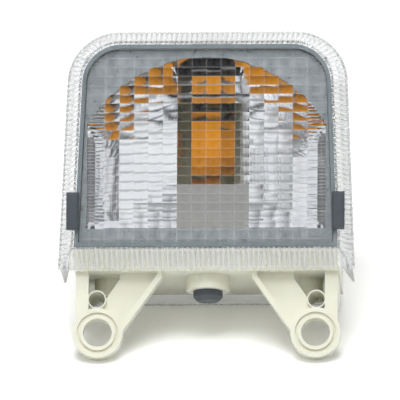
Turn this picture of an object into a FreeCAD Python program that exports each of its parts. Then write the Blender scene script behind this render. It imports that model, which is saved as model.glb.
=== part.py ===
import FreeCAD, Part
import math
import os

os.makedirs("parts", exist_ok=True)

V = FreeCAD.Vector

# Millimetres. X to the right, Y to the back, Z up.
# The origin is midway between the two eye axes, on the front face of the eyes.

# clearances and fits
slip_gap = 0.3
screw_gap = 0.3
pad_gap = 0.1
seal_gap = 0.3
base_gap = 2.8
past = 1.0

# sides of small round pieces and chords in a round corner of the outline
drum_sides = 24
corner_chords = 12

# lens: outline of the front face, tapering upwards, and how far the lip flares beyond it
face_y = -17.0
lip_y = -4.0
wall_end_y = 28.0
face_t = 2.5
rim_t = 2.3
face_low_z = 39.7
face_top_z = 145.4
face_half = 67.2
face_r = 21.0
flare_side = 7.1
flare_top = 7.5
flare_low = 8.5
flare_r = 5.0
taper = 0.042
flute_rise = 0.5
floor_rise = 0.8
side_flutes = 48
corner_flutes = 15
top_flutes = 34
floor_pitch = 2.54
flute_runout = 12.0
wall_inset = 1.2
wall_front_t = 4.3
wall_back_t = 1.0
lip_low_z = face_low_z - flare_low
lip_top_z = face_top_z + flare_top
lip_half = face_half + flare_side
lip_r = face_r + flare_r

# pillow optics on the inner side of the face, and fine ribs beside them
pillow_w = 7.235
pillow_h = 4.63
pillow_columns = 14
pillow_rise = 0.7
pillow_slope_x = 2.0
pillow_slope_z = 1.3
pillow_base = 0.5
pillow_lift = 4.8
pillow_top_gap = 6.0
rib_pitch = 1.69
rib_rise = 0.35
rib_gap = 0.8
rib_inset = 6.8
rib_lift = 7.3
rib_top_gap = 2.5
pillow_half = pillow_columns * pillow_w / 2
pillow_low_z = face_low_z + pillow_lift
pillow_rows = int((face_top_z - pillow_top_gap - pillow_low_z) / pillow_h)
rib_low_z = face_low_z + rib_lift
rib_count = int((face_top_z - face_r - rib_top_gap - rib_low_z) / rib_pitch)

# seal, housing rim, bezel and reflector flange, one behind the other
shell_t = 2.0
seal_t = 3.0
bezel_t = 1.5
reflector_t = 1.2
seal_inset = rim_t + seal_gap - min(flare_side, flare_top, flare_low) * face_t / (lip_y - face_y)
rim_y = face_y + face_t + seal_t
flange_y = rim_y + bezel_t
ledge_y = flange_y + reflector_t
ledge_depth = 8.0
ledge_w = 12.0
ledge_reach = 3.6
ledge_x = 36.0

# housing body with a slanted upper back wall, at a right angle to the bulb
back_y = 57.0
back_wall = 2.6
bulb_tilt = 30.0
holder_y = 41.0
holder_drop = 12.4
holder_z = face_top_z - holder_drop
base_front_y = -3.5
base_drop = 0.2
base_rise = 4.3
base_wall = 2.5
base_half = lip_half - wall_inset - wall_front_t - base_gap
base_low_z = lip_low_z - base_drop
base_top_z = face_low_z + base_rise
pocket_end = base_half - 8.0
pocket_ends = ((-pocket_end, -24.0), (-16.0, 16.0), (24.0, pocket_end))

# reflector: arched window in front, smaller arched plate behind, opening for the bulb
window_half = face_half - 7.4
window_low_z = face_low_z + 11.3
window_top_z = face_top_z - 7.2
window_rise = 34.6
plate_y = 12.0
plate_half = window_half - 14.0
plate_low_z = window_low_z + 6.0
plate_top_z = window_top_z - 8.0
plate_rise = window_rise * plate_half / window_half
arch_chords = 16
opening_half = 17.0
opening_drop = 9.2
opening_gap = 3.3

# small screws of the clear strip
screw_r = 1.2
screw_head_r = 2.4
screw_head_t = 1.4
screw_len = 8.0
screw_slot = 0.8
screw_sides = 12

# mounting legs
eye_spacing = 109.2
eye_bore_r = 7.2
eye_ring_r = 9.0
eye_groove_r = 10.4
eye_outer_r = 12.6
eye_groove_depth = 1.2
leg_depth = 7.6
outer_rib_w = 6.4
outer_rib_out_x = base_half - 0.4
outer_rib_in_x = outer_rib_out_x - outer_rib_w
brace_t = 2.6
brace_top_x = 22.6
brace_bend_z = 28.0
brace_end_x = 40.2
brace_end_z = 3.4
web_front_y = 3.6
web_t = 2.4
web_edge_top_x = 43.6
web_edge_low_x = 51.6
web_edge_low_z = 16.5
tube_x = 55.0
tube_z = 17.0
tube_r = 4.7
tube_bore_r = 4.1
tube_front_y = 0.5
tube_len = 30.5
cup_x = 51.0
cup_y = 22.0
cup_r = 6.4
cup_low_z = 22.0

# collar and rubber buffer under the housing
collar_y = 14.0
collar_r = 10.9
collar_low_z = 23.7
buffer_r = 7.4
buffer_low_z = 18.5
buffer_bevel = 2.0

# rubber pads on the edges of the lens face
pad_w = 6.4
pad_over = 2.4
pad_out_x = face_half + pad_over
pad_in_x = pad_out_x - pad_w
pad_low_z = 49.0
pad_high_z = 68.0
pad_front_y = -19.0
pad_bevel = 1.2
pad_sink = 1.2

# bulb and holder, along the bulb axis, measured outwards from the slanted wall
holder_r = 13.2
holder_in = 8.0
holder_neck_r = 10.6
holder_neck_in = 16.0
flange_r = 16.8
flange_t = 3.0
ring_t = 1.6
holder_top = 12.0
shell_top = 24.0
shell_half_x = 8.0
shell_low = -5.0
shell_high = 13.0
shell_wall = 1.6
sleeve_r = 8.2
sleeve_t = 0.6
sleeve_in = 15.5
sleeve_out = 2.0
cap_r = 7.5
cap_in = 21.0
cap_out = 6.0
cap_hole_r = 5.6
glass_r = 12.5
glass_neck_r = 7.2
glass_tip = 60.0
glass_shoulder = 9.0
glass_t = 0.8
plunger_r = 2.2
contact_r = 2.0
contact_t = 1.2
insulator_t = 1.5
insulator_in = 2.0
stem_r = 2.6
stem_len = 7.0
stem_foot = 4.0
blade_w = 6.3
blade_t = 0.8
blade_top = 20.0
wire_sides = 8
wire_r = 0.35
wire_spread = 1.2
coil_r = 0.8
coil_len = 8.0

# clear strip along the lower back edge
guard_half = base_half - 4.0
guard_low_z = base_low_z - 4.8
guard_step_z = base_low_z + 0.3
guard_high_z = base_low_z + 10.0
guard_plate_t = 2.5
guard_bar_t = 5.0
guard_flutes = 48
guard_screw_x = 20.0
guard_screw_z = base_low_z + 6.0

# breather on the back wall
breather_x = 0.0
breather_z = 62.0
spigot_r = 3.0
spigot_bore_r = 1.6
spigot_len = 6.0
breather_r = 5.4
breather_len = 8.0


def box(x0, x1, y0, y1, z0, z1):
    return Part.makeBox(x1 - x0, y1 - y0, z1 - z0, V(x0, y0, z0))


def rod_y(x, z, r, y0, y1):
    return Part.makeCylinder(r, y1 - y0, V(x, y0, z), V(0, 1, 0))


def rod_z(x, y, r, z0, z1):
    return Part.makeCylinder(r, z1 - z0, V(x, y, z0), V(0, 0, 1))


# many-sided rod from a start point along a vector
def drum(r, start, along, sides=drum_sides):
    axis = V(along).normalize()
    across = V(0, 0, 1) if abs(axis.x) > 0.5 else V(1, 0, 0)
    across = (across - axis * across.dot(axis)).normalize()
    other = axis.cross(across)
    points = []
    for i in range(sides):
        turn = 2 * math.pi * i / sides
        points.append(start + across * (r * math.cos(turn)) + other * (r * math.sin(turn)))
    return flat_face(points).extrude(along)


def drum_z(r, z0, z1):
    return drum(r, V(0, 0, z0), V(0, 0, z1 - z0))


def drum_y(x, z, r, y0, y1, sides=drum_sides):
    return drum(r, V(x, y0, z), V(0, y1 - y0, 0), sides)


def drum_up(x, y, r, z0, z1):
    return drum(r, V(x, y, z0), V(0, 0, z1 - z0))


def flat_face(points):
    return Part.Face(Part.makePolygon(points + points[:1]))


# closed solid through many-sided rings of given radius and height
def ring_solid(rings):
    loops = []
    for r, z in rings:
        loop = []
        for i in range(drum_sides):
            turn = 2 * math.pi * i / drum_sides
            loop.append(V(r * math.cos(turn), r * math.sin(turn), z))
        loops.append(loop)
    return skin(loops)


# solid through loops with the same number of points
def skin(loops):
    faces = [flat_face(loops[0]), flat_face(loops[-1])]
    for low, high in zip(loops, loops[1:]):
        for i in range(len(low)):
            j = (i + 1) % len(low)
            faces.append(flat_face([low[i], low[j], high[j]]))
            faces.append(flat_face([low[i], high[j], high[i]]))
    return closed_solid(faces)


def closed_solid(faces):
    shell = Part.Shell(faces)
    shell.sewShape()
    solid = Part.Solid(shell)
    if solid.Volume < 0:
        solid.reverse()
    return solid


def fuse_all(shapes):
    return shapes[0].multiFuse(shapes[1:]).removeSplitter()


def on_bulb_axis(shape):
    shape.rotate(V(0, 0, 0), V(1, 0, 0), -bulb_tilt)
    shape.translate(V(0, holder_y, holder_z))
    return shape


# outline of the lamp: two tapering sides, a flat top and two round top corners
def corner_points(half, ref_z, top_z, r):
    lean = math.atan(taper)
    reach = half * math.cos(lean) + ref_z * math.sin(lean)
    centre_z = top_z - r
    centre_x = (reach - r - centre_z * math.sin(lean)) / math.cos(lean)
    return lean, centre_x, centre_z


def side_x(half, ref_z, z):
    return half - taper * (z - ref_z)


# round corners are made of short chords at the same angles in every outline
def outline_points(y, half, ref_z, low_z, top_z, r):
    lean, cx, cz = corner_points(half, ref_z, top_z, r)
    right = [V(side_x(half, ref_z, low_z), y, low_z)]
    for i in range(corner_chords + 1):
        turn = lean + (math.pi / 2 - lean) * i / corner_chords
        right.append(V(cx + r * math.cos(turn), y, cz + r * math.sin(turn)))
    left = [V(-p.x, y, p.z) for p in right]
    return left + right[::-1]


# outline of the front face drawn in by an inset
def face_prism(inset, y0, y1):
    points = outline_points(y0, face_half - inset, face_low_z, face_low_z + inset,
                            face_top_z - inset, face_r - inset)
    return flat_face(points).extrude(V(0, y1 - y0, 0))


# lip outline drawn in by an inset, reaching down to low_z
def lip_points(y, inset, low_z):
    return outline_points(y, lip_half - inset, lip_low_z, low_z, lip_top_z - inset, lip_r - inset)


# each stretch between two points gets a ridge in its middle
def ridged(points, rise):
    out = points[:1]
    for a, b in zip(points, points[1:]):
        step = b - a
        outward = V(-step.z, 0, step.x).normalize()
        out.append((a + b) * 0.5 + outward * rise)
        out.append(b)
    return out


# flutes up one side, round the corner, along the top and down again
def fluted_hood(y, half, ref_z, top_z, r, low_z):
    lean, cx, cz = corner_points(half, ref_z, top_z, r)
    low_x = side_x(half, ref_z, low_z)
    tangent = V(cx + r * math.cos(lean), y, cz + r * math.sin(lean))
    right = []
    for i in range(side_flutes + 1):
        f = i / side_flutes
        right.append(V(low_x + (tangent.x - low_x) * f, y, low_z + (tangent.z - low_z) * f))
    for i in range(1, corner_flutes + 1):
        turn = lean + (math.pi / 2 - lean) * i / corner_flutes
        right.append(V(cx + r * math.cos(turn), y, cz + r * math.sin(turn)))
    left = [V(-p.x, y, p.z) for p in right]
    top = []
    for i in range(1, top_flutes):
        top.append(V(-cx + 2 * cx * i / top_flutes, y, top_z))
    return ridged(left + top + right[::-1], flute_rise)


def fluted_floor(y, low_z, high_z):
    count = 2 * math.ceil((lip_half + flute_runout) / floor_pitch)
    reach = count * floor_pitch / 2
    points = []
    for i in range(count + 1):
        points.append(V(reach - i * floor_pitch, y, low_z))
    return ridged(points, floor_rise) + [V(-reach, y, high_z), V(reach, y, high_z)]


# flared rim with flutes on all four sides and a closed front face
def make_rim():
    cut_z = lip_low_z - flute_runout
    hood = skin([
        fluted_hood(face_y, face_half, face_low_z, face_top_z, face_r, cut_z),
        fluted_hood(lip_y, lip_half, lip_low_z, lip_top_z, lip_r, cut_z),
    ])
    high_z = lip_top_z + flute_runout
    floor = skin([
        fluted_floor(face_y, face_low_z, high_z),
        fluted_floor(lip_y, lip_low_z, high_z),
    ])
    return hood.common(floor)


# hollow of the flared rim, which follows the flare
def make_rim_hollow():
    loops = []
    for y in (face_y + face_t, lip_y):
        f = (y - face_y) / (lip_y - face_y)
        half = face_half + (lip_half - face_half) * f - rim_t
        low_z = face_low_z + (lip_low_z - face_low_z) * f
        top_z = face_top_z + (lip_top_z - face_top_z) * f - rim_t
        r = face_r + (lip_r - face_r) * f - rim_t
        loops.append(outline_points(y, half, low_z, low_z + rim_t, top_z, r))
    return skin(loops)


# thin walls behind the lip, open at the bottom
def make_hood_walls():
    front_y = lip_y - past
    outer = flat_face(lip_points(front_y, wall_inset, lip_low_z)).extrude(V(0, wall_end_y - front_y, 0))
    inner = skin([
        lip_points(front_y, wall_inset + wall_front_t, lip_low_z - past),
        lip_points(wall_end_y, wall_inset + wall_back_t, lip_low_z - past),
    ])
    return outer.cut(inner)


# one pillow: four slopes up to a flat top
def pillow_faces(x, z, plane_y):
    low = [V(x, plane_y, z), V(x + pillow_w, plane_y, z)]
    low += [V(x + pillow_w, plane_y, z + pillow_h), V(x, plane_y, z + pillow_h)]
    top_y = plane_y + pillow_rise
    x0 = x + pillow_slope_x
    x1 = x + pillow_w - pillow_slope_x
    z0 = z + pillow_slope_z
    z1 = z + pillow_h - pillow_slope_z
    top = [V(x0, top_y, z0), V(x1, top_y, z0), V(x1, top_y, z1), V(x0, top_y, z1)]
    faces = [flat_face(top)]
    for i in range(4):
        j = (i + 1) % 4
        faces.append(flat_face([low[i], low[j], top[j], top[i]]))
    return faces


# grid of pillows on a thin plate that is sunk into the face
def make_pillows():
    plane_y = face_y + face_t
    base_y = plane_y - pillow_base
    xs = [-pillow_half + i * pillow_w for i in range(pillow_columns + 1)]
    zs = [pillow_low_z + i * pillow_h for i in range(pillow_rows + 1)]
    faces = []
    for x in xs[:-1]:
        for z in zs[:-1]:
            faces.extend(pillow_faces(x, z, plane_y))
    for z in (zs[0], zs[-1]):
        edge = [V(x, plane_y, z) for x in xs]
        faces.append(flat_face(edge + [V(xs[-1], base_y, z), V(xs[0], base_y, z)]))
    for x in (xs[0], xs[-1]):
        edge = [V(x, plane_y, z) for z in zs]
        faces.append(flat_face(edge + [V(x, base_y, zs[-1]), V(x, base_y, zs[0])]))
    corners = [V(xs[0], base_y, zs[0]), V(xs[-1], base_y, zs[0])]
    corners += [V(xs[-1], base_y, zs[-1]), V(xs[0], base_y, zs[-1])]
    faces.append(flat_face(corners))
    return closed_solid(faces)


# fine ribs on the inner side of the face, beside the pillows
def make_margin_ribs(side):
    plane_y = face_y + face_t
    base_y = plane_y - pillow_base
    ends = (side * (pillow_half + rib_gap), side * (face_half - rib_inset))
    points = [V(min(ends), base_y, rib_low_z), V(min(ends), plane_y, rib_low_z)]
    for i in range(rib_count):
        z = rib_low_z + i * rib_pitch
        points.append(V(min(ends), plane_y + rib_rise, z + rib_pitch / 2))
        points.append(V(min(ends), plane_y, z + rib_pitch))
    points.append(V(min(ends), base_y, rib_low_z + rib_count * rib_pitch))
    return flat_face(points).extrude(V(max(ends) - min(ends), 0, 0))


def make_lens():
    rim = make_rim().cut(make_rim_hollow())
    body = fuse_all([rim, make_hood_walls(), make_pillows(), make_margin_ribs(-1), make_margin_ribs(1)])
    for side in (-1, 1):
        body = body.cut(pad_pocket(side))
    return body


# pocket in the corner of the lens face that takes a pad
def pad_pocket(side):
    x0 = min(side * pad_in_x, side * (pad_out_x + pad_gap))
    x1 = max(side * pad_in_x, side * (pad_out_x + pad_gap))
    return box(x0, x1, pad_front_y - past, face_y + pad_sink, pad_low_z, pad_high_z)


def make_pad(side):
    x0 = min(side * pad_in_x, side * pad_out_x)
    x1 = max(side * pad_in_x, side * pad_out_x)
    pad = box(x0, x1, pad_front_y, face_y + pad_sink, pad_low_z, pad_high_z)
    front = [e for e in pad.Edges if all(abs(v.Point.y - pad_front_y) < 1e-6 for v in e.Vertexes)]
    return pad.makeChamfer(pad_bevel, front)


def make_seal():
    outer = face_prism(seal_inset, face_y + face_t, rim_y)
    return outer.cut(face_prism(seal_inset + shell_t, face_y + face_t, rim_y))


# the arched window: floor, straight sides and an arch of short chords
def window_points(y, half, low_z, side_z, top_z):
    rise = top_z - side_z
    r = (half ** 2 + rise ** 2) / (2 * rise)
    spread = math.acos(1 - rise / r)
    points = [V(-half, y, low_z), V(half, y, low_z)]
    for i in range(arch_chords + 1):
        turn = spread - 2 * spread * i / arch_chords
        points.append(V(r * math.sin(turn), y, top_z - r + r * math.cos(turn)))
    return points


def front_window(y, grow):
    side_z = window_top_z - window_rise
    return window_points(y, window_half + grow, window_low_z - grow, side_z, window_top_z + grow)


def plate_window(y, grow):
    side_z = plate_top_z - plate_rise
    return window_points(y, plate_half + grow, plate_low_z - grow, side_z, plate_top_z + grow)


def bowl_solid(grow):
    return skin([front_window(flange_y, grow), plate_window(plate_y + grow, grow)])


def flange_plate(y0, y1):
    return face_prism(seal_inset + shell_t + slip_gap, y0, y1)


def make_bezel():
    window = flat_face(front_window(rim_y, 0)).extrude(V(0, bezel_t, 0))
    return flange_plate(rim_y, flange_y).cut(window)


# lowest point of the bulb glass
def bulb_tip_z():
    return holder_z - glass_tip * math.cos(math.radians(bulb_tilt))


def make_reflector():
    shell = flange_plate(flange_y, ledge_y).fuse(bowl_solid(reflector_t)).cut(bowl_solid(0))
    low_z = bulb_tip_z() - opening_gap
    high_z = plate_top_z - opening_drop
    opening = box(-opening_half, opening_half, plate_y - past, plate_y + reflector_t + past, low_z, high_z)
    return shell.cut(opening).removeSplitter()


# side shape of the body: upright back and a slanted upper back wall for the bulb holder
def side_profile(y0, y1, drop):
    slope = math.tan(math.radians(bulb_tilt))

    def slant(y):
        return holder_z - drop - slope * (y - holder_y)

    low = base_low_z - past
    x = -2 * face_half
    points = [V(x, y0, low), V(x, y0, slant(y0)), V(x, y1, slant(y1)), V(x, y1, low)]
    return flat_face(points).extrude(V(4 * face_half, 0, 0))


# blocks behind the reflector flange, at the top and bottom wall
def make_ledges():
    inset = seal_inset + shell_t
    top_z = face_top_z - inset
    low_z = face_low_z + inset
    ledges = []
    for x in (-ledge_x, ledge_x):
        span = (x - ledge_w / 2, x + ledge_w / 2, ledge_y, ledge_y + ledge_depth)
        ledges.append(box(*span, top_z - ledge_reach, top_z + shell_t / 2))
        ledges.append(box(*span, low_z - shell_t / 2, low_z + ledge_reach))
    return ledges


def make_body():
    outer = face_prism(seal_inset, rim_y, back_y).common(side_profile(rim_y, back_y, 0))
    drop = back_wall / math.cos(math.radians(bulb_tilt))
    inner_back = back_y - back_wall
    inner = face_prism(seal_inset + shell_t, rim_y, inner_back)
    inner = inner.common(side_profile(rim_y, inner_back, drop))
    base = box(-base_half, base_half, base_front_y, back_y, base_low_z, base_top_z)
    for x0, x1 in pocket_ends:
        base = base.cut(box(x0, x1, base_front_y + base_wall, back_y, base_low_z + base_wall,
                            face_low_z + seal_inset))
    body = outer.fuse(base).cut(inner)
    return fuse_all([body] + make_ledges())


# one leg: outer rib, brace wall, web, eye and guide tube
def make_leg(side):
    eye_x = side * eye_spacing / 2
    top_z = base_low_z + 1
    pieces = [rod_y(eye_x, 0, eye_outer_r, 0, leg_depth)]
    rib_x0 = min(side * outer_rib_in_x, side * outer_rib_out_x)
    rib_x1 = max(side * outer_rib_in_x, side * outer_rib_out_x)
    pieces.append(box(rib_x0, rib_x1, 0, leg_depth, 0, top_z))
    pieces.append(make_brace(side, top_z))
    pieces.append(make_web(side, top_z))
    tube_end = tube_front_y + tube_len
    pieces.append(drum_y(side * tube_x, tube_z, tube_r, tube_front_y, tube_end))
    shelf_x = (side * tube_x, side * outer_rib_out_x)
    pieces.append(box(min(shelf_x), max(shelf_x), leg_depth - 1, tube_end, tube_z - 1, tube_z + 1))
    wall_x = (side * (outer_rib_out_x - base_wall), side * outer_rib_out_x)
    pieces.append(box(min(wall_x), max(wall_x), leg_depth - 1, tube_end, tube_z - 1, top_z))
    pieces.append(drum_up(side * cup_x, cup_y, cup_r, cup_low_z, top_z))
    leg = fuse_all(pieces)
    leg = leg.cut(rod_y(eye_x, 0, eye_bore_r, -past, leg_depth + past))
    groove = drum_y(eye_x, 0, eye_groove_r, 0, eye_groove_depth)
    groove = groove.cut(drum_y(eye_x, 0, eye_ring_r, 0, eye_groove_depth))
    leg = leg.cut(groove)
    leg = leg.cut(rod_y(side * tube_x, tube_z, tube_bore_r, -past, tube_end + past))
    return leg.cut(drum_up(side * cup_x, cup_y, cup_r - base_wall, cup_low_z - past, base_low_z - past))


# slim wall from the underside of the body down to the eye
def make_brace(side, top_z):
    outer_x = brace_top_x + brace_t
    lean = math.atan2(brace_end_x - brace_top_x, brace_bend_z - brace_end_z)
    across = brace_t / math.cos(lean)
    low_x = brace_end_x + 3.0
    low_z = brace_end_z - 3.0 / math.tan(lean)
    flat = [(brace_top_x, top_z), (brace_top_x, brace_bend_z), (low_x, low_z),
            (low_x + across, low_z), (outer_x, brace_bend_z + 1), (outer_x, top_z)]
    points = [V(side * x, 0, z) for x, z in flat]
    return flat_face(points).extrude(V(0, leg_depth, 0))


# recessed plate between the brace and the slanted opening
def make_web(side, top_z):
    flat = [(brace_top_x + 1, top_z), (brace_top_x + 1, brace_bend_z), (brace_end_x + 1, brace_end_z),
            (eye_spacing / 2, 0), (eye_spacing / 2, eye_outer_r - 1), (web_edge_low_x, web_edge_low_z),
            (web_edge_top_x, brace_bend_z), (web_edge_top_x, top_z)]
    points = [V(side * x, web_front_y, z) for x, z in flat]
    return flat_face(points).extrude(V(0, web_t, 0))


def make_housing():
    pieces = [make_body(), make_leg(-1), make_leg(1)]
    pieces.append(rod_z(0, collar_y, collar_r, collar_low_z, base_low_z + past))
    spigot_end = back_y + spigot_len
    pieces.append(drum_y(breather_x, breather_z, spigot_r, back_y - past, spigot_end))
    housing = fuse_all(pieces)
    housing = housing.cut(drum_up(0, collar_y, buffer_r, collar_low_z - past, base_low_z))
    inner_y = back_y - back_wall - past
    bore = drum_y(breather_x, breather_z, spigot_bore_r, inner_y, spigot_end + past)
    housing = housing.cut(bore)
    for x in (-guard_screw_x, guard_screw_x):
        screw_end = back_y + guard_plate_t - screw_len
        housing = housing.cut(drum_y(x, guard_screw_z, screw_r, screw_end, back_y + past, screw_sides))
    reach = 2 * back_wall
    opening = Part.makeCylinder(holder_r + slip_gap, 2 * reach, V(0, 0, -reach), V(0, 0, 1))
    return housing.cut(on_bulb_axis(opening))


def make_buffer():
    tip = buffer_r - buffer_bevel
    rings = [(tip, buffer_low_z), (buffer_r, buffer_low_z + buffer_bevel), (buffer_r, base_low_z)]
    return ring_solid(rings).translated(V(0, collar_y, 0))


# bulb glass as a row of many-sided rings: neck, shoulder and round end
def glass_body(thin):
    r = glass_r - thin
    round_z = -glass_tip + glass_r
    rings = [(glass_neck_r - thin, -cap_in), (r, -cap_in - glass_shoulder), (r, round_z)]
    for turn in (22, 44, 64, 82):
        rings.append((r * math.cos(math.radians(turn)), round_z - r * math.sin(math.radians(turn))))
    return ring_solid(rings)


def make_glass():
    return on_bulb_axis(glass_body(0).cut(glass_body(glass_t)))


def make_cap():
    return on_bulb_axis(drum_z(cap_r, -cap_in, -cap_out).cut(drum_z(cap_hole_r, -cap_in, -cap_out)))


def make_insulator():
    disc = drum_z(cap_hole_r, -cap_out - insulator_in, -cap_out + insulator_t)
    return on_bulb_axis(disc.cut(contact_disc()))


# solder contact, sunk by half its height into the insulator
def contact_disc():
    top = -cap_out + insulator_t
    return drum_z(contact_r, top - contact_t / 2, top + contact_t / 2)


def make_stem():
    stem = drum_z(cap_hole_r, -cap_in, -cap_in + stem_foot).fuse(drum_z(stem_r, -cap_in - stem_len, -cap_in))
    return on_bulb_axis(stem.cut(filament_shape()))


# coil on two lead wires that are melted into the stem
def filament_shape():
    low = -cap_in - stem_len + 2
    coil_z = -glass_tip + glass_r + 3
    pieces = [drum(coil_r, V(-coil_len / 2, 0, coil_z), V(coil_len, 0, 0), wire_sides)]
    for x in (-wire_spread, wire_spread):
        start = V(x, 0, low)
        end = V(3 * x, 0, coil_z)
        pieces.append(drum(wire_r, start, end - start, wire_sides))
    return fuse_all(pieces)


def make_holder():
    outer = drum_z(holder_r, -holder_in, ring_t)
    neck = drum_z(holder_neck_r, -holder_neck_in, 0)
    flange = drum_z(flange_r, ring_t, ring_t + flange_t)
    head = drum_z(holder_r, ring_t, holder_top)
    shell = box(-shell_half_x, shell_half_x, shell_low, shell_high, ring_t, shell_top)
    hollow = box(-shell_half_x + shell_wall, shell_half_x - shell_wall, shell_low + shell_wall,
                 shell_high - shell_wall, holder_top - 2, shell_top)
    body = fuse_all([outer, neck, flange, head, shell]).cut(hollow)
    body = body.cut(drum_z(sleeve_r, -holder_neck_in, sleeve_out))
    for blade in (live_blade(), earth_blade()):
        body = body.cut(blade)
    return on_bulb_axis(body)


def live_blade():
    return box(-blade_w / 2, blade_w / 2, -blade_t / 2, blade_t / 2, sleeve_out, blade_top)


def earth_blade():
    return box(-blade_w / 2, blade_w / 2, sleeve_r, sleeve_r + blade_t, -holder_in, blade_top)


def make_sleeve():
    low = -sleeve_in
    high = sleeve_out - 3
    return on_bulb_axis(drum_z(sleeve_r, low, high).cut(drum_z(sleeve_r - sleeve_t, low, high)))


def make_plunger():
    low = -cap_out + insulator_t + contact_t / 2
    plate = drum_z(sleeve_r - sleeve_t - slip_gap, sleeve_out - 1.2, sleeve_out)
    return on_bulb_axis(plate.fuse(drum_z(plunger_r, low, sleeve_out)))


def make_ring():
    return on_bulb_axis(drum_z(flange_r - slip_gap, 0, ring_t).cut(drum_z(holder_r, 0, ring_t)))


# clear strip: plate with screws and a thicker fluted bar along its lower edge
def make_guard():
    pitch = 2 * guard_half / guard_flutes
    end_y = back_y + guard_bar_t
    points = [V(-guard_half, end_y, guard_low_z), V(-guard_half, back_y, guard_low_z)]
    for i in range(guard_flutes):
        x = -guard_half + i * pitch
        points.append(V(x + pitch / 2, back_y - flute_rise, guard_low_z))
        points.append(V(x + pitch, back_y, guard_low_z))
    points.append(V(guard_half, end_y, guard_low_z))
    bar = flat_face(points).extrude(V(0, 0, base_low_z - guard_low_z))
    step = box(-guard_half, guard_half, back_y, end_y, base_low_z, guard_step_z)
    plate = box(-guard_half, guard_half, back_y, back_y + guard_plate_t, base_low_z, guard_high_z)
    guard = fuse_all([bar, step, plate])
    hole_r = screw_r + screw_gap
    for x in (-guard_screw_x, guard_screw_x):
        guard = guard.cut(drum_y(x, guard_screw_z, hole_r, back_y - past, end_y + past, screw_sides))
    return guard


def make_guard_screws():
    screws = []
    head_y = back_y + guard_plate_t
    end_y = head_y + screw_head_t
    for x in (-guard_screw_x, guard_screw_x):
        head = drum_y(x, guard_screw_z, screw_head_r, head_y, end_y, screw_sides)
        shank = drum_y(x, guard_screw_z, screw_r, head_y - screw_len, head_y, screw_sides)
        slot = box(x - screw_head_r, x + screw_head_r, head_y + screw_head_t / 2, end_y,
                   guard_screw_z - screw_slot / 2, guard_screw_z + screw_slot / 2)
        screws.append(head.fuse(shank).cut(slot))
    return Part.makeCompound(screws)


def make_breather():
    cap = drum_y(breather_x, breather_z, breather_r, back_y, back_y + breather_len)
    return cap.cut(drum_y(breather_x, breather_z, spigot_r, back_y, back_y + spigot_len))


nodes = {
    "lens": make_lens(),
    "lens_seal": make_seal(),
    "bezel": make_bezel(),
    "reflector": make_reflector(),
    "housing": make_housing(),
    "left_pad": make_pad(-1),
    "right_pad": make_pad(1),
    "bottom_buffer": make_buffer(),
    "bulb_glass": make_glass(),
    "bulb_cap": make_cap(),
    "bulb_insulator": make_insulator(),
    "bulb_contact": on_bulb_axis(contact_disc()),
    "bulb_stem": make_stem(),
    "bulb_filament": on_bulb_axis(filament_shape()),
    "bulb_holder": make_holder(),
    "socket_sleeve": make_sleeve(),
    "contact_plunger": make_plunger(),
    "live_terminal": on_bulb_axis(live_blade()),
    "earth_terminal": on_bulb_axis(earth_blade()),
    "holder_seal": make_ring(),
    "breather_cap": make_breather(),
    "rear_guard": make_guard(),
    "guard_screws": make_guard_screws(),
}

for name, shape in nodes.items():
    shape.exportStep("parts/" + name + ".step")
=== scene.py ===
import bmesh
import bpy
import math
from mathutils import Matrix, Vector


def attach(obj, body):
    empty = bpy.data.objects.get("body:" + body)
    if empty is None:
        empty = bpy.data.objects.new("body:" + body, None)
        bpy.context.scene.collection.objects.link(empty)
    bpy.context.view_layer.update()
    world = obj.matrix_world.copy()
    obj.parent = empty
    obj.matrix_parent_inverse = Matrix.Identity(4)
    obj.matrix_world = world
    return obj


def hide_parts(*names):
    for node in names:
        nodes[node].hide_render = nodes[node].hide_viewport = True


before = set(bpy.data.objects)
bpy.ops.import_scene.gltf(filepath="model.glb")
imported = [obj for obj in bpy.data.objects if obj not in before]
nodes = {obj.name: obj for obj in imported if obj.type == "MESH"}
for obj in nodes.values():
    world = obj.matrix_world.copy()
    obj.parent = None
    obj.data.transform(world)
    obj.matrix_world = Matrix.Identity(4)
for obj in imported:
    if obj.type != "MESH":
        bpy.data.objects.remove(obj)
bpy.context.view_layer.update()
scene = bpy.context.scene
MM = 0.001

# flutes and pillows of the lens, in millimetres
FLUTE_PITCH = 2.54
PILLOW_W, PILLOW_H = 7.235, 4.63
PILLOW_LOW_Z = 44.5

# how strong the painted crease lines are beside the painted highlights of the walls, and where a painted
# line starts to show and shows fully
LINE_SHARE = 0.36
CREASE_EDGE = (0.35, 0.15)
CREASE_FRONT_Y = (-15.2, -14.8)
CREASE_BACK_Y = (-12.8, -13.2)

# the edge of the dull patch of the reflector, from where it starts to where it is full
PATCH_EDGE_X = (19.0, 17.0)
PATCH_EDGE_Z = (78.0, 77.0)

# view: the lamp leans back on the table and is seen from a little below its own axis
VIEW_DOWN = math.radians(12.0)
LEAN = math.radians(35.5)
VIEW_SIDE = math.radians(3.0)
VIEW_ROLL = math.radians(0.4)
VIEW_DIST = 6.0
MM_PER_PX = 0.5
PICTURE_PX = 400.0
SENSOR_MM = 36.0
CENTRE_PX = (-6.3, 132.2)
TABLE_HALF = 0.6
TABLE_PLACE = (0.0, 0.0076, -0.0128)

# the room that mirrors show: white behind the lamp, two soft boxes beside the camera, dim elsewhere
ROOM_TONE = 0.13
FLOOR_TONE = 0.45
DARK_X = 0.05
BOX_INNER = (0.05, 0.12)
BOX_OUTER = (0.85, 0.7)
BOX_FOOT = (-0.12, 0.02)
BACK_EDGE = (-0.25, 0.05)
OVERHEAD_EDGE = (0.5, 0.7)
FLOOR_EDGE = (-0.05, -0.25)
SEAM_Z = 0.33
SEAM_EDGE = (0.02, 0.06)
SEAM_TONE = 0.55
FILL_TONE = 0.27
TABLE_GAIN = 0.4


# materials

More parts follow.
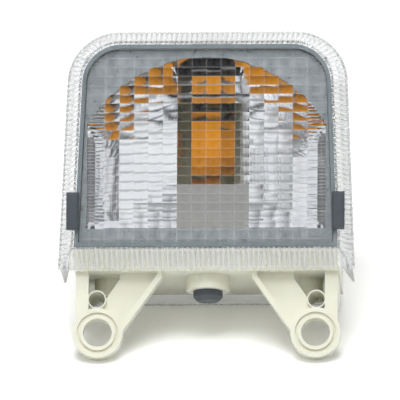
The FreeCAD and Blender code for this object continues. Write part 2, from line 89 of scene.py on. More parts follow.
def new_material(name):
    mat = bpy.data.materials.new(name)
    mat.use_nodes = True
    tree = mat.node_tree
    tree.nodes.clear()
    out = tree.nodes.new("ShaderNodeOutputMaterial")
    return mat, tree, out


def noise(tree, scale, detail=3.0):
    coord = tree.nodes.new("ShaderNodeTexCoord")
    tex = tree.nodes.new("ShaderNodeTexNoise")
    tex.inputs["Scale"].default_value = scale
    tex.inputs["Detail"].default_value = detail
    tree.links.new(coord.outputs["Object"], tex.inputs["Vector"])
    return tex


def spread(tree, source, low, high):
    ramp = tree.nodes.new("ShaderNodeMapRange")
    ramp.inputs["From Min"].default_value = 0.3
    ramp.inputs["From Max"].default_value = 0.7
    ramp.inputs["To Min"].default_value = low
    ramp.inputs["To Max"].default_value = high
    tree.links.new(source, ramp.inputs["Value"])
    return ramp.outputs["Result"]


def two_tone(tree, source, dark, light):
    ramp = tree.nodes.new("ShaderNodeValToRGB")
    ramp.color_ramp.elements[0].position = 0.3
    ramp.color_ramp.elements[0].color = (*dark, 1.0)
    ramp.color_ramp.elements[1].position = 0.7
    ramp.color_ramp.elements[1].color = (*light, 1.0)
    tree.links.new(source, ramp.inputs["Fac"])
    return ramp.outputs["Color"]


def solid_finish(name, dark, light, rough, metal=0.0, scale=180.0, grain=0.0, soft=0.0):
    mat, tree, out = new_material(name)
    bsdf = tree.nodes.new("ShaderNodeBsdfPrincipled")
    tex = noise(tree, scale)
    tree.links.new(two_tone(tree, tex.outputs["Fac"], dark, light), bsdf.inputs["Base Color"])
    tree.links.new(spread(tree, tex.outputs["Fac"], rough * 0.85, rough * 1.15), bsdf.inputs["Roughness"])
    bsdf.inputs["Metallic"].default_value = metal
    if soft > 0:
        bsdf.inputs["Subsurface Weight"].default_value = soft
        bsdf.inputs["Subsurface Radius"].default_value = (0.004, 0.0035, 0.002)
        bsdf.inputs["Subsurface Scale"].default_value = 1.0
    if grain > 0:
        relief = tree.nodes.new("ShaderNodeBump")
        relief.inputs["Strength"].default_value = grain
        relief.inputs["Distance"].default_value = 0.0002
        fine = noise(tree, scale * 12, 2.0)
        tree.links.new(fine.outputs["Fac"], relief.inputs["Height"])
        tree.links.new(relief.outputs["Normal"], bsdf.inputs["Normal"])
    tree.links.new(bsdf.outputs["BSDF"], out.inputs["Surface"])
    return mat


# clear stock: refracts for seen rays and lets light through for shadows
def clear_finish(name, tint, ior, shade, sheen_share=0.0):
    mat, tree, out = new_material(name)
    glass = tree.nodes.new("ShaderNodeBsdfGlass")
    tex = noise(tree, 60.0)
    dark = tuple(c * 0.985 for c in tint)
    tree.links.new(two_tone(tree, tex.outputs["Fac"], dark, tint), glass.inputs["Color"])
    glass.inputs["Roughness"].default_value = 0.0
    glass.inputs["IOR"].default_value = ior
    stock = glass.outputs["BSDF"]
    # painted highlights on the flute crests and painted light lines along the pillow creases
    if sheen_share > 0:
        stock = paint_sheen_on_stock(tree, stock, sheen_share)
    through = tree.nodes.new("ShaderNodeBsdfTransparent")
    through.inputs["Color"].default_value = (*shade, 1.0)
    path = tree.nodes.new("ShaderNodeLightPath")
    light_ray = math_node(tree, "MAXIMUM", path.outputs["Is Shadow Ray"], path.outputs["Is Diffuse Ray"])
    mix = tree.nodes.new("ShaderNodeMixShader")
    tree.links.new(light_ray, mix.inputs["Fac"])
    tree.links.new(stock, mix.inputs[1])
    tree.links.new(through.outputs["BSDF"], mix.inputs[2])
    tree.links.new(mix.outputs["Shader"], out.inputs["Surface"])
    return mat


# clear stock mixed with lit white: a painted highlight on the crests of the fluted walls and painted light
# lines along the creases of the pillows, in place of the glints that flutes and creases give
def paint_sheen_on_stock(tree, clear, sheen_share):
    geo = tree.nodes.new("ShaderNodeNewGeometry")
    split = tree.nodes.new("ShaderNodeSeparateXYZ")
    tree.links.new(geo.outputs["Normal"], split.inputs["Vector"])
    wall = step(tree, math_node(tree, "ABSOLUTE", split.outputs["Y"]), 0.85, 0.65)
    coat = math_node(tree, "MULTIPLY", flute_crest(tree, split.outputs["X"]), sheen_share)
    lines = math_node(tree, "MULTIPLY", painted_crease_lines(tree), sheen_share * LINE_SHARE)
    sheen_mask = math_node(tree, "MAXIMUM", math_node(tree, "MULTIPLY", wall, coat), lines)
    sheen_white = tree.nodes.new("ShaderNodeBsdfDiffuse")
    sheen_white.inputs["Color"].default_value = (0.84, 0.85, 0.85, 1.0)
    mix = tree.nodes.new("ShaderNodeMixShader")
    tree.links.new(sheen_mask, mix.inputs["Fac"])
    tree.links.new(clear, mix.inputs[1])
    tree.links.new(sheen_white.outputs["BSDF"], mix.inputs[2])
    return mix.outputs["Shader"]


# near 0 in the grooves of the fluted rim and near 2 on the crests, along X or on the sides along Z
def flute_crest(tree, side):
    place = place_on_object(tree)
    upright = step(tree, math_node(tree, "ABSOLUTE", side), 0.45, 0.5)
    along = tree.nodes.new("ShaderNodeMix")
    tree.links.new(upright, along.inputs["Factor"])
    tree.links.new(place["X"], along.inputs["A"])
    tree.links.new(place["Z"], along.inputs["B"])
    turn = math_node(tree, "MULTIPLY", along.outputs["Result"], 2.0 * math.pi / (FLUTE_PITCH * MM))
    wave = math_node(tree, "MULTIPLY", math_node(tree, "COSINE", turn), -0.95)
    return math_node(tree, "ADD", wave, 1.0)


# 1 along the creases between the pillows of the inner face, where painted light lines are laid, 0 elsewhere
def painted_crease_lines(tree):
    place = place_on_object(tree)
    front = step_mm(tree, place["Y"], CREASE_FRONT_Y)
    inside = math_node(tree, "MULTIPLY", front, step_mm(tree, place["Y"], CREASE_BACK_Y))
    across = math_node(tree, "PINGPONG", place["X"], PILLOW_W * MM / 2)
    along = math_node(tree, "SUBTRACT", place["Z"], PILLOW_LOW_Z * MM)
    along = math_node(tree, "PINGPONG", along, PILLOW_H * MM / 2)
    edge_x = step_mm(tree, across, CREASE_EDGE)
    edge_z = step_mm(tree, along, CREASE_EDGE)
    return math_node(tree, "MULTIPLY", inside, math_node(tree, "MAXIMUM", edge_x, edge_z))


# lacquered bulb glass: part of the light passes, part is scattered in the coat
def lacquer_finish(name, tint, coat, share):
    mat, tree, out = new_material(name)
    tex = noise(tree, 120.0)
    glass = tree.nodes.new("ShaderNodeBsdfGlass")
    deep = tuple(c * 0.94 for c in tint)
    tree.links.new(two_tone(tree, tex.outputs["Fac"], deep, tint), glass.inputs["Color"])
    tree.links.new(spread(tree, tex.outputs["Fac"], 0.04, 0.1), glass.inputs["Roughness"])
    glass.inputs["IOR"].default_value = 1.1
    skin = tree.nodes.new("ShaderNodeBsdfPrincipled")
    dark = tuple(c * 0.85 for c in coat)
    tree.links.new(two_tone(tree, tex.outputs["Fac"], dark, coat), skin.inputs["Base Color"])
    skin.inputs["Roughness"].default_value = 0.2
    skin.inputs["Specular IOR Level"].default_value = 0.2
    mix = tree.nodes.new("ShaderNodeMixShader")
    mix.inputs["Fac"].default_value = share
    tree.links.new(glass.outputs["BSDF"], mix.inputs[1])
    tree.links.new(skin.outputs["BSDF"], mix.inputs[2])
    tree.links.new(mix.outputs["Shader"], out.inputs["Surface"])
    return mat


# bright metal coat with slight waves and a dull patch under the bulb opening
def mirror_finish(name):
    mat, tree, out = new_material(name)
    bsdf = tree.nodes.new("ShaderNodeBsdfPrincipled")
    tex = noise(tree, 70.0, 1.0)
    tone = two_tone(tree, tex.outputs["Fac"], (0.88, 0.89, 0.91), (0.96, 0.965, 0.975))
    patch = dull_patch(tree)
    blend = tree.nodes.new("ShaderNodeMixRGB")
    tree.links.new(patch, blend.inputs["Fac"])
    tree.links.new(tone, blend.inputs["Color1"])
    blend.inputs["Color2"].default_value = (0.38, 0.38, 0.36, 1)
    tree.links.new(blend.outputs["Color"], bsdf.inputs["Base Color"])
    rough = tree.nodes.new("ShaderNodeMapRange")
    rough.inputs["To Min"].default_value = 0.07
    rough.inputs["To Max"].default_value = 0.6
    tree.links.new(patch, rough.inputs["Value"])
    tree.links.new(rough.outputs["Result"], bsdf.inputs["Roughness"])
    metal = tree.nodes.new("ShaderNodeMapRange")
    metal.inputs["To Min"].default_value = 1.0
    metal.inputs["To Max"].default_value = 0.0
    tree.links.new(patch, metal.inputs["Value"])
    tree.links.new(metal.outputs["Result"], bsdf.inputs["Metallic"])
    wave = tree.nodes.new("ShaderNodeBump")
    wave.inputs["Strength"].default_value = 0.35
    wave.inputs["Distance"].default_value = 0.001
    tree.links.new(tex.outputs["Fac"], wave.inputs["Height"])
    tree.links.new(wave.outputs["Normal"], bsdf.inputs["Normal"])
    tree.links.new(bsdf.outputs["BSDF"], out.inputs["Surface"])
    return mat


# 1 on the reflector plate below the bulb opening, 0 elsewhere
def dull_patch(tree):
    place = place_on_object(tree)
    within = step_mm(tree, math_node(tree, "ABSOLUTE", place["X"]), PATCH_EDGE_X)
    below = step_mm(tree, place["Z"], PATCH_EDGE_Z)
    return math_node(tree, "MULTIPLY", within, below)


# the three coordinates of a point on the object, in metres
def place_on_object(tree):
    coord = tree.nodes.new("ShaderNodeTexCoord")
    split = tree.nodes.new("ShaderNodeSeparateXYZ")
    tree.links.new(coord.outputs["Object"], split.inputs["Vector"])
    return split.outputs


# one math node, fed by sockets or numbers
def math_node(tree, operation, first, second=0.0):
    node = tree.nodes.new("ShaderNodeMath")
    node.operation = operation
    for socket, value in zip(node.inputs, (first, second)):
        if isinstance(value, float):
            socket.default_value = value
        else:
            tree.links.new(value, socket)
    return node.outputs["Value"]


# smooth rise from 0 to 1 between two values
def step(tree, source, low, high):
    ramp = tree.nodes.new("ShaderNodeMapRange")
    ramp.interpolation_type = "SMOOTHSTEP"
    ramp.inputs["From Min"].default_value = low
    ramp.inputs["From Max"].default_value = high
    tree.links.new(source, ramp.inputs["Value"])
    return ramp.outputs["Result"]


# the same for a place in metres and an edge in millimetres
def step_mm(tree, source, edge):
    return step(tree, source, edge[0] * MM, edge[1] * MM)


FINISH = {
    # the lens gets painted highlights on its flute crests and painted light lines along its pillow creases
    "clear": clear_finish("clear_lens", (0.985, 0.99, 0.995), 1.49, (0.97, 0.97, 0.97), sheen_share=0.2),
    "seal": solid_finish("seal_grey", (0.20, 0.237, 0.256), (0.238, 0.275, 0.294), 0.6, grain=0.2),
    "bezel": solid_finish("bezel_grey", (0.28, 0.315, 0.33), (0.42, 0.455, 0.47), 0.3, metal=0.5, grain=0.2),
    "mirror": mirror_finish("bright_metal"),
    "screw": solid_finish("screw_steel", (0.45, 0.45, 0.47), (0.6, 0.6, 0.62), 0.3, metal=1.0),
    "cream": solid_finish("cream_plastic", (0.76, 0.76, 0.635), (0.81, 0.81, 0.69), 0.42, scale=40.0,
                          grain=0.15, soft=0.35),
    "rubber": solid_finish("dark_rubber", (0.055, 0.065, 0.077), (0.073, 0.083, 0.096), 0.5, grain=0.25),
    "amber": lacquer_finish("amber_glass", (1.0, 0.72, 0.07), (1.0, 0.40, 0.003), 0.6),
    "brass": solid_finish("cap_brass", (0.62, 0.55, 0.40), (0.72, 0.65, 0.5), 0.25, metal=1.0),
    "black_glass": solid_finish("black_glass", (0.01, 0.01, 0.012), (0.02, 0.02, 0.022), 0.15),
    "solder": solid_finish("solder", (0.45, 0.45, 0.45), (0.55, 0.55, 0.55), 0.4, metal=1.0),
    "stem": clear_finish("stem_glass", (0.95, 0.97, 0.97), 1.45, (0.95, 0.95, 0.95)),
    "wire": solid_finish("filament_wire", (0.3, 0.3, 0.3), (0.4, 0.4, 0.4), 0.35, metal=1.0),
    "black": solid_finish("black_plastic", (0.018, 0.018, 0.02), (0.03, 0.03, 0.032), 0.4, grain=0.2),
    "terminal": solid_finish("terminal_brass", (0.6, 0.47, 0.22), (0.7, 0.58, 0.3), 0.25, metal=1.0),
}

NODE_FINISH = {
    "lens": "clear",
    "rear_guard": "clear",
    "lens_seal": "seal",
    "bezel": "bezel",
    "reflector": "mirror",
    "guard_screws": "screw",
    "housing": "cream",
    "left_pad": "rubber",
    "right_pad": "rubber",
    "bottom_buffer": "rubber",
    "bulb_glass": "amber",
    "bulb_cap": "brass",
    "bulb_insulator": "black_glass",
    "bulb_contact": "solder",
    "bulb_stem": "stem",
    "bulb_filament": "wire",
    "bulb_holder": "black",
    "socket_sleeve": "brass",
    "contact_plunger": "brass",
    "live_terminal": "terminal",
    "earth_terminal": "terminal",
    "holder_seal": "rubber",
    "breather_cap": "rubber",
}

for name, finish in NODE_FINISH.items():
    mesh = nodes[name].data
    mesh.materials.clear()
    mesh.materials.append(FINISH[finish])


# lens mesh: fluted rim, pillowed inner face and hood walls, finer than the frame's own

FACE_Y, LIP_Y, WALL_END_Y = -17.0, -4.0, 28.0
FACE_T, RIM_T = 2.5, 2.3
FACE = {"half": 67.2, "low": 39.7, "top": 145.4, "r": 21.0}
LIP = {"half": 74.3, "low": 31.2, "top": 152.9, "r": 26.0}
TAPER = 0.042
FLUTE_RISE = 0.2
FLOOR_RISE = 0.4
FLUTE_STEPS = 8
SIDE_FLUTES, CORNER_FLUTES, TOP_FLUTES, FLOOR_FLUTES = 36, 15, 34, 54
FLUTE_FADE = 1.5
COLUMNS, ROWS = 14, 20
PILLOW_STEPS_X, PILLOW_STEPS_Z = 10, 16
RIM_ROWS = 12
PILLOW_RISE_X, PILLOW_RISE_Z = 0.45, 0.28
RIB_RISE = 0.22
RIB_PITCH = PILLOW_H * 0.375
RIB_IN_X, RIB_OUT_X = 51.4, 60.4
HOOD_GAP = 0.03
HOOD_OUT, HOOD_IN, HOOD_ROOT = 1.2, 2.2, 5.5


# outline of the flared rim at one depth, drawn in by an inset
def section(y, inset):
    f = (y - FACE_Y) / (LIP_Y - FACE_Y)
    size = {key: FACE[key] + (LIP[key] - FACE[key]) * f for key in FACE}
    size["ref"] = size["low"]
    size["half"] -= inset
    size["top"] -= inset
    size["r"] -= inset
    size["low"] += inset
    return size


# height of a flute, 0 in the groove and 1 on the crest
def bump(s):
    f = s / FLUTE_PITCH
    f = f - math.floor(f)
    return 1.0 - (2.0 * f - 1.0) ** 2


# one loop of points round the lamp, from the lower left corner up and over to the right and back
def loop(y, size, rise, floor_rise):
    lean = math.atan(TAPER)
    half, ref, low, top, r = size["half"], size["ref"], size["low"], size["top"], size["r"]
    reach = half * math.cos(lean) + ref * math.sin(lean)
    cz = top - r
    cx = (reach - r - cz * math.sin(lean)) / math.cos(lean)
    low_x = half - TAPER * (low - ref)
    side_x, side_z = cx + r * math.cos(lean), cz + r * math.sin(lean)
    right = []
    count = SIDE_FLUTES * FLUTE_STEPS
    for i in range(count):
        f = i / count
        z = low + (side_z - low) * f
        fade = min(1.0, (z - low) / FLUTE_FADE)
        x = low_x + (side_x - low_x) * f + rise * fade * bump(z)
        right.append((x, y, z))
    count = CORNER_FLUTES * FLUTE_STEPS
    for i in range(count):
        turn = lean + (math.pi / 2 - lean) * i / count
        out = r + rise * bump(i / FLUTE_STEPS * FLUTE_PITCH)
        right.append((cx + out * math.cos(turn), y, cz + out * math.sin(turn)))
    points = [(-x, yy, z) for x, yy, z in right]
    count = TOP_FLUTES * FLUTE_STEPS
    for i in range(count + 1):
        f = i / count
        points.append((-cx + 2 * cx * f, y, top + rise * bump(f * TOP_FLUTES * FLUTE_PITCH)))
    points.extend(right[::-1])
    count = FLOOR_FLUTES * FLUTE_STEPS
    for i in range(1, count):
        x = low_x - 2 * low_x * i / count
        fade = min(1.0, (low_x - abs(x)) / FLUTE_FADE)
        points.append((x, y, low - floor_rise * fade * bump(x)))
    return points


# height of the inner face over its plain level
def optic(x, z):
    if abs(x) > COLUMNS * PILLOW_W / 2:
        if RIB_IN_X <= abs(x) <= RIB_OUT_X:
            f = (z - PILLOW_LOW_Z) / RIB_PITCH
            f = f - math.floor(f)
            return RIB_RISE * (1.0 - (2.0 * f - 1.0) ** 2)
        return 0.0
    u = (x + COLUMNS * PILLOW_W / 2) / PILLOW_W
    v = (z - PILLOW_LOW_Z) / PILLOW_H
    u = 2.0 * (u - math.floor(u)) - 1.0
    v = 2.0 * (v - math.floor(v)) - 1.0
    return PILLOW_RISE_X * (1.0 - u * u) + PILLOW_RISE_Z * (1.0 - v * v)


def add_loop(bm, points):
    return [bm.verts.new(Vector(p) * MM) for p in points]


def join_loops(bm, a, b):
    n = len(a)
    for i in range(n):
        j = (i + 1) % n
        bm.faces.new((a[i], a[j], b[j], b[i]))


def loop_edges(bm, verts):
    n = len(verts)
    edges = []
    for i in range(n):
        edge = bm.edges.get((verts[i], verts[(i + 1) % n]))
        edges.append(edge or bm.edges.new((verts[i], verts[(i + 1) % n])))
    return edges


def grid_lines():
    half = COLUMNS * PILLOW_W / 2
    xs = [-RIB_OUT_X, -RIB_IN_X]
    xs += [-half + i * PILLOW_W / PILLOW_STEPS_X for i in range(COLUMNS * PILLOW_STEPS_X + 1)]
    xs += [RIB_IN_X, RIB_OUT_X]
    zs = [PILLOW_LOW_Z + i * PILLOW_H / PILLOW_STEPS_Z for i in range(ROWS * PILLOW_STEPS_Z + 1)]
    return xs, zs


def build_lens():
    bm = bmesh.new()
    outer = []
    for j in range(RIM_ROWS + 1):
        y = FACE_Y + (LIP_Y - FACE_Y) * j / RIM_ROWS
        outer.append(add_loop(bm, loop(y, section(y, 0.0), FLUTE_RISE, FLOOR_RISE)))
    for a, b in zip(outer, outer[1:]):
        join_loops(bm, a, b)
    inner_y = FACE_Y + FACE_T
    inner_back = add_loop(bm, loop(LIP_Y, section(LIP_Y, RIM_T), 0.0, 0.0))
    inner_front = add_loop(bm, loop(inner_y, section(inner_y, RIM_T), 0.0, 0.0))
    join_loops(bm, outer[-1], inner_back)
    join_loops(bm, inner_back, inner_front)
    bmesh.ops.triangle_fill(bm, edges=loop_edges(bm, outer[0]), use_beauty=False)
    xs, zs = grid_lines()
    grid = []
    for x in xs:
        column = []
        for z in zs:
            column.append(bm.verts.new(Vector((x, inner_y + optic(x, z), z)) * MM))
        grid.append(column)
    for i in range(len(xs) - 1):
        for j in range(len(zs) - 1):
            bm.faces.new((grid[i][j], grid[i + 1][j], grid[i + 1][j + 1], grid[i][j + 1]))
    rim = grid_rim(grid)
    foot = [bm.verts.new(Vector((v.co.x, inner_y * MM, v.co.z))) for v in rim]
    join_loops(bm, rim, foot)
    bmesh.ops.triangle_fill(bm, edges=loop_edges(bm, inner_front) + loop_edges(bm, foot), use_beauty=False)
    add_hood(bm)
    bmesh.ops.recalc_face_normals(bm, faces=bm.faces)
    mesh = bpy.data.meshes.new("lens_fine")
    bm.to_mesh(mesh)
    bm.free()
    lens = bpy.data.objects.new("lens_fine", mesh)
    scene.collection.objects.link(lens)
    mesh.materials.append(FINISH["clear"])
    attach(lens, "root")
    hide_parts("lens")


# the grid's outer points, once round
def grid_rim(grid):
    rim = [column[0] for column in grid]
    rim += grid[-1][1:]
    rim += [column[-1] for column in grid[-2::-1]]
    rim += grid[0][-2:0:-1]
    return rim


# inverted U of thin walls behind the lip
def add_hood(bm):
    start = LIP_Y + HOOD_GAP

    def arch(y, inset):
        size = section(LIP_Y, inset)
        size["low"] = LIP["low"]
        points = loop(y, size, 0.0, 0.0)
        count = (2 * (SIDE_FLUTES + CORNER_FLUTES) + TOP_FLUTES) * FLUTE_STEPS + 1
        return add_loop(bm, points[:count])

    outside = [arch(start, HOOD_OUT), arch(WALL_END_Y, HOOD_OUT)]
    inside = [arch(WALL_END_Y, HOOD_IN), arch(start, HOOD_ROOT)]
    rings = outside + inside
    for k in range(4):
        a, b = rings[k], rings[(k + 1) % 4]
        for i in range(len(a) - 1):
            bm.faces.new((a[i], a[i + 1], b[i + 1], b[i]))
    bm.faces.new([ring[0] for ring in rings])
    bm.faces.new([ring[-1] for ring in rings])


build_lens()


# bright face of the reflector: smooth arch, a little hollow towards the plate

LINER_GAP = 0.1
FLANGE_Y, PLATE_Y = -10.0, 12.0
WINDOW = {"half": 59.8, "low": 51.0, "rise": 34.6, "top": 138.2}
PLATE = {"half": 45.8, "low": 57.0, "rise": 26.5, "top": 130.2}
OPENING = {"half": 17.0, "low": 77.8, "top": 121.0}
HOLLOW = 2.0
SIDE_STEP = 4.0
FADE = 8.0
FACET_RISE = (0.5, 1.0, 0.7, 0.9)
LINER_ROWS = 16
SIDE_POINTS, FOOT_POINTS, ARCH_POINTS = 16, 40, 96
FLAT_MARGIN = 2.0
BROW = {"half": 17.5, "row": 5, "high": 130.0, "low": 120.8}


# the sides below the arch stay straight and steep, so the hollow is given back there
def arch_ring(y, size, hollow, step_in):
    half, top, low, rise = size["half"] - hollow, size["top"] - hollow, size["low"], size["rise"]
    r = (half ** 2 + rise ** 2) / (2 * rise)
    spread_angle = math.acos(1 - rise / r)
    side_z = top - rise
    side = []
    for i in range(SIDE_POINTS):
        z = low + (side_z - low) * i / SIDE_POINTS
        side.append((half + (hollow - step_in) * min(1.0, (side_z - z) / FADE), y, z))
    foot = side[0][0]
    points = [(-foot + 2 * foot * i / FOOT_POINTS, y, low) for i in range(FOOT_POINTS)]
    points += side
    for i in range(ARCH_POINTS + 1):
        turn = spread_angle - 2 * spread_angle * i / ARCH_POINTS
        points.append((r * math.sin(turn), y, top - r + r * math.cos(turn)))
    points += [(-x, y, z) for x, y, z in side[:0:-1]]
    return points


# over the bulb opening the arch comes down in a steeper slope
def add_brow(ring, k):
    first = WINDOW["top"] - LINER_GAP
    if k <= BROW["row"]:
        level = first + (BROW["high"] - first) * k / BROW["row"]
    else:
        share = (k - BROW["row"]) / (LINER_ROWS - BROW["row"])
        level = BROW["high"] + (BROW["low"] - BROW["high"]) * share
    points = []
    for x, y, z in ring:
        if abs(x) < BROW["half"]:
            z = min(z, level)
        points.append((x, y, z))
    return points


# each point of a ring drawn straight towards the middle of the opening, up to its edge
def opening_ring(y, ring):
    middle = (OPENING["low"] + OPENING["top"]) / 2
    tall = (OPENING["top"] - OPENING["low"]) / 2
    points = []
    for x, _, z in ring:
        share = max(abs(x) / OPENING["half"], abs(z - middle) / tall)
        points.append((x / share, y, middle + (z - middle) / share))
    return points


# ring part of the way from one ring to another
def between(a_ring, b_ring, share, y):
    return [(a[0] + (b[0] - a[0]) * share, y, a[2] + (b[2] - a[2]) * share)
            for a, b in zip(a_ring, b_ring)]


# true over the bulb opening in front of the lower slope, where the arch stays open
def in_brow_gap(face):
    front_y = FLANGE_Y + (PLATE_Y - LINER_GAP - FLANGE_Y) * BROW["row"] / LINER_ROWS
    place = face.calc_center_median()
    return abs(place.x) < BROW["half"] * MM and place.y < front_y * MM and place.z > BROW["low"] * MM


def build_liner():
    bm = bmesh.new()
    rim = {"half": WINDOW["half"] - LINER_GAP, "top": WINDOW["top"] - LINER_GAP,
           "low": WINDOW["low"] + LINER_GAP, "rise": WINDOW["rise"]}
    ledge = arch_ring(FLANGE_Y - LINER_GAP, rim, 0.0, 0.0)
    rings = []
    for k in range(LINER_ROWS + 1):
        t = k / LINER_ROWS
        y = FLANGE_Y + (PLATE_Y - LINER_GAP - FLANGE_Y) * t
        size = {key: WINDOW[key] + (PLATE[key] - WINDOW[key]) * t for key in WINDOW}
        size["half"] -= LINER_GAP
        size["top"] -= LINER_GAP
        size["low"] += LINER_GAP
        hollow = HOLLOW * (t + 0.5 * t * t)
        rings.append(add_brow(arch_ring(y, size, hollow, SIDE_STEP * (1 - t)), k))
    plate_y = PLATE_Y - LINER_GAP
    edge = opening_ring(plate_y, rings[-1])
    join_loops(bm, add_loop(bm, ledge), add_loop(bm, rings[0]))
    loops = [add_loop(bm, ring) for ring in rings]
    for a, b in zip(loops, loops[1:]):
        join_loops(bm, a, b)
    hidden = [face for face in bm.faces if in_brow_gap(face)]
    bmesh.ops.delete(bm, geom=hidden, context="FACES")
    bands = len(FACET_RISE)
    for k, rise in enumerate(FACET_RISE):
        outer = between(rings[-1], edge, k / bands, plate_y)
        inner = between(rings[-1], edge, (k + 1) / bands, plate_y - rise)
        join_loops(bm, add_loop(bm, outer), add_loop(bm, inner))
    for face in bm.faces:
        face.smooth = min(abs(v.co.x) for v in face.verts) > (BROW["half"] + FLAT_MARGIN) * MM
    mesh = bpy.data.meshes.new("reflector_face")
    bm.to_mesh(mesh)
    bm.free()
    face = bpy.data.objects.new("reflector_face", mesh)
    scene.collection.objects.link(face)
    mesh.materials.append(FINISH["mirror"])
    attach(face, "root")


build_liner()


# stage: table, lights, world and camera

def view_axes():
    forward = Vector((0.0, math.cos(VIEW_DOWN), math.sin(VIEW_DOWN)))
    up = Vector((0.0, -math.sin(VIEW_DOWN), math.cos(VIEW_DOWN)))
    right = Vector((1.0, 0.0, 0.0))
    turn = Matrix.Rotation(VIEW_SIDE, 3, "Z")
    forward, up, right = turn @ forward, turn @ up, turn @ right
    roll = Matrix.Rotation(-VIEW_ROLL, 3, forward)
    return roll @ right, roll @ up, forward


def facing(right, up, forward, place):
    turn = Matrix((right, up, -forward)).transposed().to_4x4()
    turn.translation = place
    return turn


def add_camera():
    right, up, forward = view_axes()
    data = bpy.data.cameras.new("camera")
    data.sensor_width = SENSOR_MM
    data.lens = SENSOR_MM / PICTURE_PX * VIEW_DIST / (MM_PER_PX * MM)
    data.clip_end = 20.0
    cam = bpy.data.objects.new("camera", data)
    scene.collection.objects.link(cam)
    px = MM_PER_PX * MM
    place = -VIEW_DIST * forward + CENTRE_PX[0] * px * right + CENTRE_PX[1] * px * up
    cam.matrix_world = facing(right, up, forward, place)
    scene.camera = cam


# seen directly or in glass the lit table is plain white, and from below it is not there
def table_finish():
    mat, tree, out = new_material("table")
    diffuse = tree.nodes.new("ShaderNodeBsdfDiffuse")
    tex = noise(tree, 8.0)
    paper = two_tone(tree, tex.outputs["Fac"], (0.93, 0.93, 0.92), (0.95, 0.95, 0.945))
    path = tree.nodes.new("ShaderNodeLightPath")
    near = math_node(tree, "MAXIMUM", path.outputs["Is Camera Ray"], path.outputs["Is Glossy Ray"])
    direct = math_node(tree, "MAXIMUM", near, path.outputs["Is Transmission Ray"])
    gain = tree.nodes.new("ShaderNodeVectorMath")
    gain.operation = "SCALE"
    tree.links.new(paper, gain.inputs["Vector"])
    tree.links.new(math_node(tree, "ADD", math_node(tree, "MULTIPLY", direct, TABLE_GAIN), 1.0),
                   gain.inputs["Scale"])
    tree.links.new(gain.outputs["Vector"], diffuse.inputs["Color"])
    clear = tree.nodes.new("ShaderNodeBsdfTransparent")
    geo = tree.nodes.new("ShaderNodeNewGeometry")
    mix = tree.nodes.new("ShaderNodeMixShader")
    tree.links.new(geo.outputs["Backfacing"], mix.inputs["Fac"])
    tree.links.new(diffuse.outputs["BSDF"], mix.inputs[1])
    tree.links.new(clear.outputs["BSDF"], mix.inputs[2])
    tree.links.new(mix.outputs["Shader"], out.inputs["Surface"])
    return mat


def add_table():
    mesh = bpy.data.meshes.new("table")
    half = TABLE_HALF
    corners = [(-half, -half, 0), (half, -half, 0), (half, half, 0), (-half, half, 0)]
    mesh.from_pydata(corners, [], [(0, 1, 2, 3)])
    table = bpy.data.objects.new("table", mesh)
    scene.collection.objects.link(table)
    table.matrix_world = Matrix.Translation(TABLE_PLACE) @ Matrix.Rotation(LEAN, 4, "X")
    mesh.materials.append(table_finish())


def add_light(name, place, aim, size, power):
    data = bpy.data.lights.new(name, "AREA")
    data.shape = "SQUARE"
    data.size = size
    data.energy = power
    light = bpy.data.objects.new(name, data)
    scene.collection.objects.link(light)
    light.visible_glossy = False
    light.visible_transmission = False
    light.location = place
    light.rotation_euler = (Vector(aim) - Vector(place)).to_track_quat("-Z", "Y").to_euler()


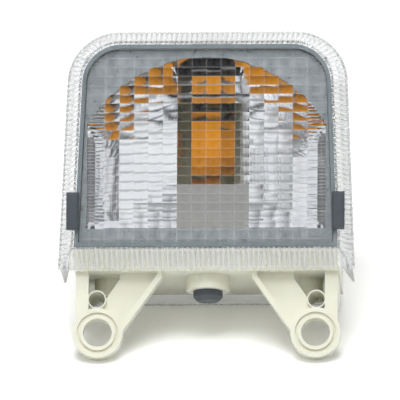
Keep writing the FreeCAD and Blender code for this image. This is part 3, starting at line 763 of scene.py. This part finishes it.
# rays that no mirror has turned meet plain white, the others meet the room
def add_world():
    world = bpy.data.worlds.new("studio")
    scene.world = world
    world.use_nodes = True
    tree = world.node_tree
    tree.nodes.clear()
    out = tree.nodes.new("ShaderNodeOutputWorld")
    seen = tree.nodes.new("ShaderNodeBackground")
    coord = tree.nodes.new("ShaderNodeTexCoord")
    split = tree.nodes.new("ShaderNodeSeparateXYZ")
    tree.links.new(coord.outputs["Generated"], split.inputs["Vector"])
    back = step(tree, split.outputs["Y"], *BACK_EDGE)
    overhead = step(tree, split.outputs["Z"], *OVERHEAD_EDGE)
    below = step(tree, split.outputs["Z"], *FLOOR_EDGE)
    aside = math_node(tree, "ABSOLUTE", math_node(tree, "ADD", split.outputs["X"], DARK_X))
    inner = step(tree, aside, *BOX_INNER)
    outer = step(tree, aside, *BOX_OUTER)
    level = step(tree, split.outputs["Z"], *BOX_FOOT)
    boxes = math_node(tree, "MULTIPLY", math_node(tree, "MULTIPLY", inner, outer), level)
    off_seam = math_node(tree, "ABSOLUTE", math_node(tree, "SUBTRACT", split.outputs["Z"], SEAM_Z))
    seam = math_node(tree, "MULTIPLY", step(tree, off_seam, *SEAM_EDGE), 1.0 - SEAM_TONE)
    boxes = math_node(tree, "MULTIPLY", boxes, math_node(tree, "ADD", seam, SEAM_TONE))
    soft = math_node(tree, "MULTIPLY", below, FLOOR_TONE)
    lit = math_node(tree, "MAXIMUM", math_node(tree, "MAXIMUM", back, overhead),
                    math_node(tree, "MAXIMUM", boxes, soft))
    tone = tree.nodes.new("ShaderNodeMapRange")
    tone.inputs["To Min"].default_value = ROOM_TONE
    path = tree.nodes.new("ShaderNodeLightPath")
    unmirrored = step(tree, path.outputs["Glossy Depth"], 0.6, 0.4)
    tree.links.new(math_node(tree, "MAXIMUM", lit, unmirrored), tone.inputs["Value"])
    seen.inputs["Color"].default_value = (1, 1, 1, 1)
    tree.links.new(tone.outputs["Result"], seen.inputs["Strength"])
    fill = tree.nodes.new("ShaderNodeBackground")
    fill.inputs["Color"].default_value = (0.97, 0.98, 1.0, 1)
    fill.inputs["Strength"].default_value = FILL_TONE
    mix = tree.nodes.new("ShaderNodeMixShader")
    tree.links.new(path.outputs["Is Diffuse Ray"], mix.inputs["Fac"])
    tree.links.new(seen.outputs["Background"], mix.inputs[1])
    tree.links.new(fill.outputs["Background"], mix.inputs[2])
    tree.links.new(mix.outputs["Shader"], out.inputs["Surface"])


add_camera()
add_table()
add_light("top_soft", (0.0, -1.05, 0.95), (0, 0, 0.06), 0.8, 14.3)
add_light("front_fill", (-0.2, -1.25, 0.3), (0, 0, 0.06), 0.7, 2.4)
add_light("low_fill", (0.1, -1.0, -0.25), (0, 0, 0.02), 0.5, 0.25)
add_world()

scene.view_settings.view_transform = "Standard"
